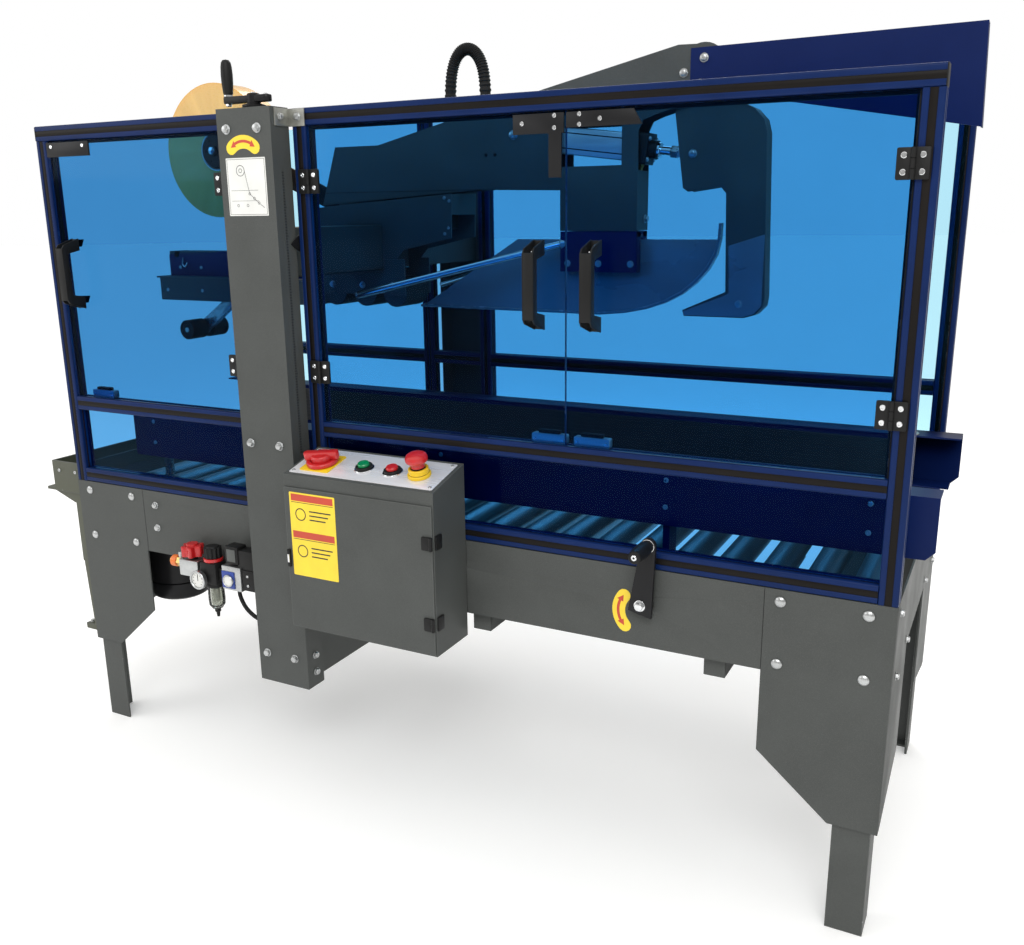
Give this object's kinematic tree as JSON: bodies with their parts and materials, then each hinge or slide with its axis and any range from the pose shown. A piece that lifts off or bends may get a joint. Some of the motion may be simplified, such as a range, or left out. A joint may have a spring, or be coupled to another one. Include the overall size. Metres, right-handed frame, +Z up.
{
  "type": "carton sealer machine",
  "caption": "Random carton sealer with a roller bed, side belts, glazed guard, flap-folding tape head on two columns and telescopic legs.",
  "frame": {"origin": "centre of the machine's overall box in plan, on the floor under the legs", "axes": "+X along the bed towards the infeed end, -Y towards the operator's side with the control box, +Z up"},
  "size_m": [1.904, 0.8634, 1.4762],
  "materials": {
    "grey_paint": "textured satin powder coat",
    "blue_profile": "satin anodised profile",
    "blue_paint": "gloss powder coat",
    "zinc": null,
    "blue_glass": "transparent tinted polycarbonate",
    "black_plastic": "matt moulded",
    "black_metal": "satin black",
    "rubber": "matt",
    "chrome": "polished",
    "tape": "wound clear film",
    "red_plastic": "gloss moulded",
    "green_plastic": "gloss moulded"
  },
  "bodies": {
    "machine_frame": {"bed_frame": "grey_paint", "front_column": "grey_paint", "rear_column": "grey_paint", "column_crossbeam": "grey_paint", "front_left_guard": "blue_profile", "front_right_guard": "blue_profile", "rear_guard": "blue_profile", "front_lower_glass_left": "blue_glass", "front_lower_glass_right": "blue_glass", "rear_glass_left": "blue_glass", "rear_glass_right": "blue_glass", "control_box": "grey_paint", "air_unit": "black_plastic", "outfeed_bracket": "grey_paint", "outfeed_roller_tray": "zinc"},
    "leg_front_left_body": {"leg_front_left": "grey_paint"},
    "leg_front_right_body": {"leg_front_right": "grey_paint"},
    "leg_rear_left_body": {"leg_rear_left": "grey_paint"},
    "leg_rear_right_body": {"leg_rear_right": "grey_paint"},
    "roller_1": {"infeed_roller_1": "zinc"},
    "roller_2": {"infeed_roller_2": "zinc"},
    "roller_3": {"infeed_roller_3": "zinc"},
    "roller_4": {"infeed_roller_4": "zinc"},
    "roller_5": {"infeed_roller_5": "zinc"},
    "roller_6": {"infeed_roller_6": "zinc"},
    "roller_7": {"infeed_roller_7": "zinc"},
    "front_guide_unit": {"front_guide": "blue_paint", "front_belt": "rubber", "front_belt_motor": "black_metal"},
    "rear_guide_unit": {"rear_guide": "blue_paint", "rear_belt": "rubber", "rear_belt_motor": "black_metal"},
    "width_crank_unit": {"width_crank": "black_metal"},
    "left_door_leaf": {"left_door": "blue_glass", "left_door_handle": "black_plastic"},
    "middle_door_leaf": {"middle_door": "blue_glass", "middle_door_handle": "black_plastic"},
    "right_door_leaf": {"right_door": "blue_glass", "right_door_handle": "black_plastic"},
    "control_door": {"control_box_door": "grey_paint"},
    "switch_dial": {"main_switch": "red_plastic"},
    "start_button_cap": {"start_button": "green_plastic"},
    "stop_button_cap": {"stop_button": "red_plastic"},
    "emergency_stop_head": {"emergency_stop": "red_plastic"},
    "regulator_knob_cap": {"regulator_knob": "red_plastic"},
    "head": {"head_carrier": "grey_paint", "mast_channel": "grey_paint", "tape_head": "grey_paint", "head_channel": "grey_paint", "ski": "grey_paint", "side_flap_rods": "blue_paint", "infeed_panel": "blue_paint", "head_conduit": "rubber", "roll_holder": "black_plastic"},
    "lift_crank_unit": {"lift_crank": "black_metal"},
    "tape_roll_body": {"tape_roll": "tape"},
    "press_roller_arm": {"press_roller": "rubber"},
    "kicker": {"kicker_arm": "grey_paint"},
    "cylinder": {"air_cylinder": "chrome"},
    "piston_rod": {"cylinder_rod": "chrome"}
  },
  "joints": [
    {"name": "leg_front_left_height", "type": "slide", "parent": "machine_frame", "child": "leg_front_left_body", "axis": [0, 0, 1], "range_m": [-0.12, 0]},
    {"name": "leg_front_right_height", "type": "slide", "parent": "machine_frame", "child": "leg_front_right_body", "axis": [0, 0, 1], "range_m": [-0.12, 0]},
    {"name": "leg_rear_left_height", "type": "slide", "parent": "machine_frame", "child": "leg_rear_left_body", "axis": [0, 0, 1], "range_m": [-0.12, 0]},
    {"name": "leg_rear_right_height", "type": "slide", "parent": "machine_frame", "child": "leg_rear_right_body", "axis": [0, 0, 1], "range_m": [-0.12, 0]},
    {"name": "roller_1_spin", "type": "hinge", "parent": "machine_frame", "child": "roller_1", "pos_m": [0.4065, 0.03175, 0.56], "axis": [0, 1, 0], "continuous": true},
    {"name": "roller_2_spin", "type": "hinge", "parent": "machine_frame", "child": "roller_2", "pos_m": [0.4815, 0.03175, 0.56], "axis": [0, 1, 0], "continuous": true},
    {"name": "roller_3_spin", "type": "hinge", "parent": "machine_frame", "child": "roller_3", "pos_m": [0.5565, 0.03175, 0.56], "axis": [0, 1, 0], "continuous": true},
    {"name": "roller_4_spin", "type": "hinge", "parent": "machine_frame", "child": "roller_4", "pos_m": [0.6315, 0.03175, 0.56], "axis": [0, 1, 0], "continuous": true},
    {"name": "roller_5_spin", "type": "hinge", "parent": "machine_frame", "child": "roller_5", "pos_m": [0.7065, 0.03175, 0.56], "axis": [0, 1, 0], "continuous": true},
    {"name": "roller_6_spin", "type": "hinge", "parent": "machine_frame", "child": "roller_6", "pos_m": [0.7815, 0.03175, 0.56], "axis": [0, 1, 0], "continuous": true},
    {"name": "roller_7_spin", "type": "hinge", "parent": "machine_frame", "child": "roller_7", "pos_m": [0.8565, 0.03175, 0.56], "axis": [0, 1, 0], "continuous": true},
    {"name": "front_guide_slide", "type": "slide", "parent": "machine_frame", "child": "front_guide_unit", "axis": [0, 1, 0], "range_m": [-0.015, 0.125]},
    {"name": "rear_guide_slide", "type": "slide", "parent": "machine_frame", "child": "rear_guide_unit", "axis": [0, -1, 0], "range_m": [-0.015, 0.125]},
    {"name": "width_crank_turn", "type": "hinge", "parent": "machine_frame", "child": "width_crank_unit", "pos_m": [0.519, -0.31825, 0.521], "axis": [0, -1, 0], "range_deg": [-271, 2251]},
    {"name": "left_door_hinge", "type": "hinge", "parent": "machine_frame", "child": "left_door_leaf", "pos_m": [-0.325, -0.32425, 1.039], "axis": [0, 0, 1], "range_deg": [0, 95]},
    {"name": "middle_door_hinge", "type": "hinge", "parent": "machine_frame", "child": "middle_door_leaf", "pos_m": [-0.124, -0.32425, 1.039], "axis": [0, 0, -1], "range_deg": [0, 95]},
    {"name": "right_door_hinge", "type": "hinge", "parent": "machine_frame", "child": "right_door_leaf", "pos_m": [0.882, -0.32425, 1.039], "axis": [0, 0, 1], "range_deg": [0, 105]},
    {"name": "control_box_door_hinge", "type": "hinge", "parent": "machine_frame", "child": "control_door", "pos_m": [0.1795, -0.43425, 0.537], "axis": [0, 0, 1], "range_deg": [0, 110]},
    {"name": "main_switch_turn", "type": "hinge", "parent": "machine_frame", "child": "switch_dial", "pos_m": [-0.084, -0.38025, 0.70856], "axis": [0, -0.2532, 0.9674], "range_deg": [0, 90]},
    {"name": "start_button_press", "type": "slide", "parent": "machine_frame", "child": "start_button_cap", "axis": [0, 0.2532, -0.9674], "range_m": [0, 0.0025], "stiffness_N_per_m": 400, "springref_m": -0.002},
    {"name": "stop_button_press", "type": "slide", "parent": "machine_frame", "child": "stop_button_cap", "axis": [0, 0.2532, -0.9674], "range_m": [0, 0.0025], "stiffness_N_per_m": 400, "springref_m": -0.002},
    {"name": "emergency_stop_press", "type": "slide", "parent": "machine_frame", "child": "emergency_stop_head", "axis": [0, 0.2532, -0.9674], "range_m": [0, 0.004], "stiffness_N_per_m": 900, "springref_m": -0.002},
    {"name": "regulator_knob_turn", "type": "hinge", "parent": "machine_frame", "child": "regulator_knob_cap", "pos_m": [-0.41, -0.34825, 0.481], "axis": [0, 0, 1], "continuous": true},
    {"name": "head_lift", "type": "slide", "parent": "machine_frame", "child": "head", "axis": [0, 0, 1], "range_m": [-0.22, 0.1]},
    {"name": "lift_crank_turn", "type": "hinge", "parent": "machine_frame", "child": "lift_crank_unit", "pos_m": [-0.218, -0.34325, 1.35], "axis": [0, 0, 1], "range_deg": [-7921, 3601]},
    {"name": "tape_roll_spin", "type": "hinge", "parent": "head", "child": "tape_roll_body", "pos_m": [-0.633, 0.03175, 1.294], "axis": [0, 1, 0], "continuous": true},
    {"name": "press_roller_swing", "type": "hinge", "parent": "head", "child": "press_roller_arm", "pos_m": [-0.625, 0.03175, 0.975], "axis": [0, 1, 0], "range_deg": [0, 15], "stiffness_Nm_per_rad": 20, "springref_deg": -20.05},
    {"name": "kicker_swing", "type": "hinge", "parent": "head", "child": "kicker", "pos_m": [0.5, 0.03175, 1.39], "axis": [0, -1, 0], "range_deg": [0, 65]},
    {"name": "cylinder_tilt", "type": "hinge", "parent": "head", "child": "cylinder", "pos_m": [0.12, 0.03175, 1.297], "axis": [0, -1, 0], "range_deg": [0, 8.77]},
    {"name": "cylinder_rod_slide", "type": "slide", "parent": "cylinder", "child": "piston_rod", "axis": [0.9917, 0, -0.1285], "range_m": [0, 0.1378]}
  ],
  "couplings": [
    {"joint": "rear_guide_slide", "follows": "front_guide_slide", "ratio": 1},
    {"joint": "width_crank_turn", "follows": "front_guide_slide", "rad_per_m": 314.16},
    {"joint": "lift_crank_turn", "follows": "head_lift", "rad_per_m": 628.32},
    {"joint": "cylinder_tilt", "follows": "kicker_swing", "ratio": 0.13422},
    {"joint": "cylinder_rod_slide", "follows": "kicker_swing", "m_per_rad": 0.12127}
  ]
}
